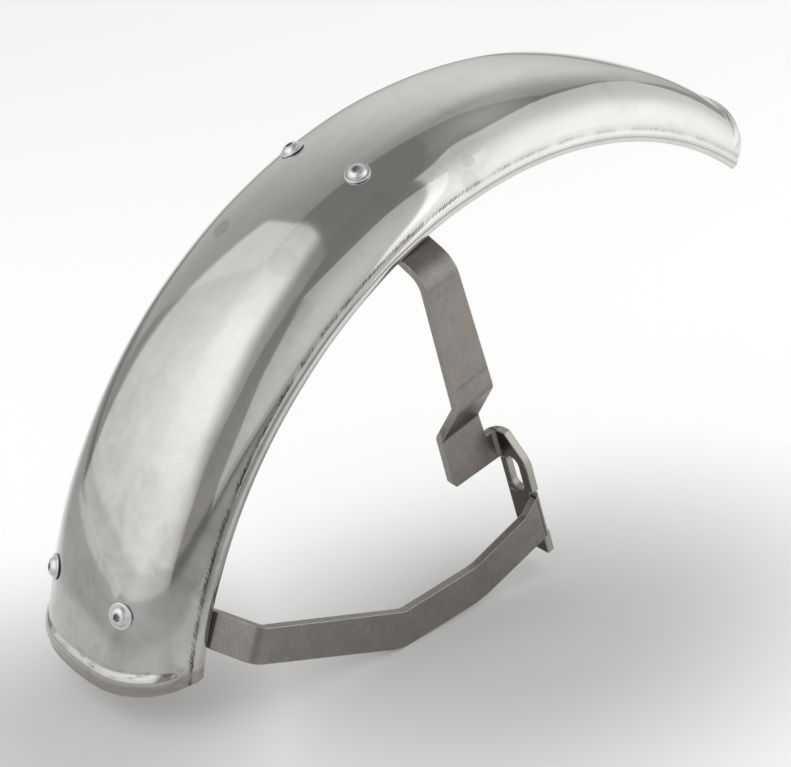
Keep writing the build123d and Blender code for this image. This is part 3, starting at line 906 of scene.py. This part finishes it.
# Camera: place, direction, shift of the lens, width of the sensor in millimetres and clipping distances
CAMERA_PLACE = (-0.76361, -0.76596, 0.56849)
CAMERA_LOOK = (0.6154, 0.6901, -0.3808)
CAMERA_SHIFT = (-0.05276, -0.09312)
CAMERA_SENSOR = 36.0
CAMERA_CLIP = (0.01, 50.0)

# Gap between the part's lowest point and the floor
FLOOR_GAP = 0.0005
# Directions over the floor, ahead of the camera and to its left, and where the camera stands on them
FLOOR_AHEAD = (0.666, 0.746, 0.0)
FLOOR_LEFT = (-0.746, 0.666, 0.0)
STAND_BACK = 1.08
STAND_LEFT = 0.06
# Where the floor's lift fades, ahead of the camera, and to the right and left as shares of the way ahead
LIFT_AHEAD = (0.62, 0.86)
LIFT_RIGHT = (-1.60, -0.80)
LIFT_LEFT = (0.28, 0.52)
# Painted shadows on the floor, where its lift is cut back beside the bracket and under the blade's rear:
# middle and half-widths
DIM_PLACES = (
    ((-0.06, -0.08), (0.27, 0.17)),
    ((-0.33, 0.04), (0.16, 0.16)),
)
# Where a painted shadow ends, in its half-widths, and the share of the lift that is left in its middle
DIM_FADE = (0.15, 1.60)
DIM_SHARE = 0.12


def towards(azimuth, elevation):
    """Direction from the part to a lamp: azimuth 0 is to the right, 90 to the front."""
    a, e = math.radians(azimuth), math.radians(elevation)
    return Vector((math.sin(a) * math.cos(e), -math.cos(a) * math.cos(e), math.sin(e)))


def soft_box(
    context, level, name, middle, azimuth, elevation, width, height, rim, peak, spot, spread, lean=0.0
):
    """A soft rectangular lamp with a bright spot, which fades as the bell curve of the distance from it.

    Where its far side leans, the lamp is dim past a line from its lower corner, inwards as it goes up.
    """
    lamp = bpy.data.lights.new(name, "AREA")
    lamp.shape = "RECTANGLE"
    lamp.size, lamp.size_y = width, height
    lamp.energy = level * math.pi * width * height
    lamp.use_nodes = True
    lamp.node_tree.nodes.clear()
    start = Shade(lamp.node_tree)
    sheet = start.node("ShaderNodeNewGeometry", {}, {}, "Parametric")
    gap = sheet.far((*spot, 0.0)) / spread
    glow = rim + (peak - rim) * start.sum("EXPONENT", gap * gap * -1.0)
    if lean:
        glow = glow * (1 - LEAN_LOSS * sheet.along((1.0, lean, 0.0)).rise(*LEAN_FADE))
    light = start.node("ShaderNodeEmission", {}, {"Color": (*LAMP_TINT, 1.0), "Strength": glow})
    start.node("ShaderNodeOutputLight", {}, {"Surface": light})
    box = bpy.data.objects.new(name, lamp)
    box.location = middle
    box.rotation_euler = (-towards(azimuth, elevation)).to_track_quat("-Z", "Y").to_euler()
    box.visible_camera = False
    context.scene.collection.objects.link(box)


def pale_floor(look):
    """Matt pale floor, lifted towards white for the eye and for metal, with painted shadows close to the
    part.

    The lift is a glow of its own, so the floor keeps the shadow. It fades in ahead of the camera and out at
    the sides, and its share in a painted shadow grows with the distance from that shadow's middle.
    """

    def build(start):
        place = start.place()
        ahead = place.along(FLOOR_AHEAD) + STAND_BACK
        aside = (place.along(FLOOR_LEFT) - STAND_LEFT) / ahead
        shown = ahead.rise(*LIFT_AHEAD) * aside.rise(*LIFT_RIGHT) * aside.fall(*LIFT_LEFT)
        beside, at_rear = (
            place.stretched((1 / wide, 1 / deep, 0.0)).far((x / wide, y / deep, 0.0))
            for (x, y), (wide, deep) in DIM_PLACES
        )
        # painted shadows: the lift falls to a small share beside the bracket and under the blade's rear
        lifted = shown * (DIM_SHARE + (1 - DIM_SHARE) * beside.least(at_rear).rise(*DIM_FADE))
        eye, metal, glass = (
            start.node("ShaderNodeLightPath", {}, {}, ray)
            for ray in ("Is Camera Ray", "Is Glossy Ray", "Is Transmission Ray")
        )
        seen = eye.most(metal).most(glass)
        lift = (lifted * seen).mix((0.0, 0.0, 0.0), (look.floor_lift, look.floor_lift, look.floor_lift))
        matt = start.node("ShaderNodeBsdfDiffuse", {}, {"Color": (*look.floor, 1.0)})
        glow = start.node("ShaderNodeEmission", {}, {"Color": lift, "Strength": 1.0})
        return start.node("ShaderNodeAddShader", {}, {0: matt, 1: glow})

    return finish("pale_floor", build)


def grey_room(scene, look):
    """The room's even light, a little darker overhead."""
    world = bpy.data.worlds.new("grey_room")
    world.use_nodes = True
    world.node_tree.nodes.clear()
    start = Shade(world.node_tree)
    up = start.node("ShaderNodeSeparateXYZ", {}, {0: start.node("ShaderNodeTexCoord")}, 2)
    low, high = (times(ROOM_TINT, grey) for grey in (look.world_low, look.world_high))
    room = up.rise(0.0, ROOM_TOP).mix(low, high)
    light = start.node("ShaderNodeBackground", {}, {"Color": room, "Strength": 1.0})
    start.node("ShaderNodeOutputWorld", {}, {"Surface": light})
    scene.world = world


class MUDGUARD_OT_stage(Operator):
    """Sets up the floor, the soft boxes, the room and the camera"""

    bl_idname = "mudguard.stage"
    bl_label = "Set the stage"

    def execute(self, context):
        look = settings(context, "stage")
        scene = context.scene
        scene.view_settings.view_transform = "Standard"
        grey_room(scene, look)
        for name, box in SOFT_BOXES.items():
            soft_box(context, look.lamp_level, name, **box)
        reach = look.floor_reach
        level = CAD_BOX[0].z - FLOOR_GAP
        mesh = bpy.data.meshes.new("floor")
        corners = [(x * reach, y * reach, level) for x, y in ((-1, -1), (1, -1), (1, 1), (-1, 1))]
        mesh.from_pydata(corners, [], [(0, 1, 2, 3)])
        mesh.materials.append(pale_floor(look))
        floor = bpy.data.objects.new("floor", mesh)
        scene.collection.objects.link(floor)
        view = bpy.data.cameras.new("camera")
        view.lens, view.sensor_width = look.lens, CAMERA_SENSOR
        view.shift_x, view.shift_y = CAMERA_SHIFT
        view.clip_start, view.clip_end = CAMERA_CLIP
        camera = bpy.data.objects.new("camera", view)
        camera.location = CAMERA_PLACE
        camera.rotation_euler = Vector(CAMERA_LOOK).to_track_quat("-Z", "Y").to_euler()
        scene.collection.objects.link(camera)
        scene.camera = camera
        return {"FINISHED"}


# Sidebar and registration

class MUDGUARD_PT_panel(Panel):
    """Lists the steps and their settings"""

    bl_idname = "MUDGUARD_PT_panel"
    bl_label = "Mudguard"
    bl_space_type = "VIEW_3D"
    bl_region_type = "UI"
    bl_category = "Mudguard"

    def draw(self, context):
        for step, group in STEPS:
            box = self.layout.box()
            box.operator(step)
            held = settings(context, group)
            for name in held.__annotations__:
                box.prop(held, name)


STEPS = (
    ("mudguard.stage", "stage"),
    ("mudguard.blade", "blade"),
    ("mudguard.bracket", "bracket"),
    ("mudguard.fasteners", "fastener"),
)
CLASSES = (
    BladeSettings, BracketSettings, FastenerSettings, StageSettings,
    MUDGUARD_OT_stage, MUDGUARD_OT_blade, MUDGUARD_OT_bracket, MUDGUARD_OT_fasteners, MUDGUARD_PT_panel,
)


def register():
    """Adds the classes and the settings."""
    for made in CLASSES:
        bpy.utils.register_class(made)
    for name, group in SETTINGS.items():
        setattr(bpy.types.Scene, name, PointerProperty(type=group))


def unregister():
    """Takes the settings and the classes away."""
    for name in SETTINGS:
        delattr(bpy.types.Scene, name)
    for made in reversed(CLASSES):
        bpy.utils.unregister_class(made)


def main():
    """Runs every step in order."""
    register()
    bpy.ops.mudguard.stage()
    bpy.ops.mudguard.blade()
    bpy.ops.mudguard.bracket()
    bpy.ops.mudguard.fasteners()


if __name__ == "__main__":
    main()
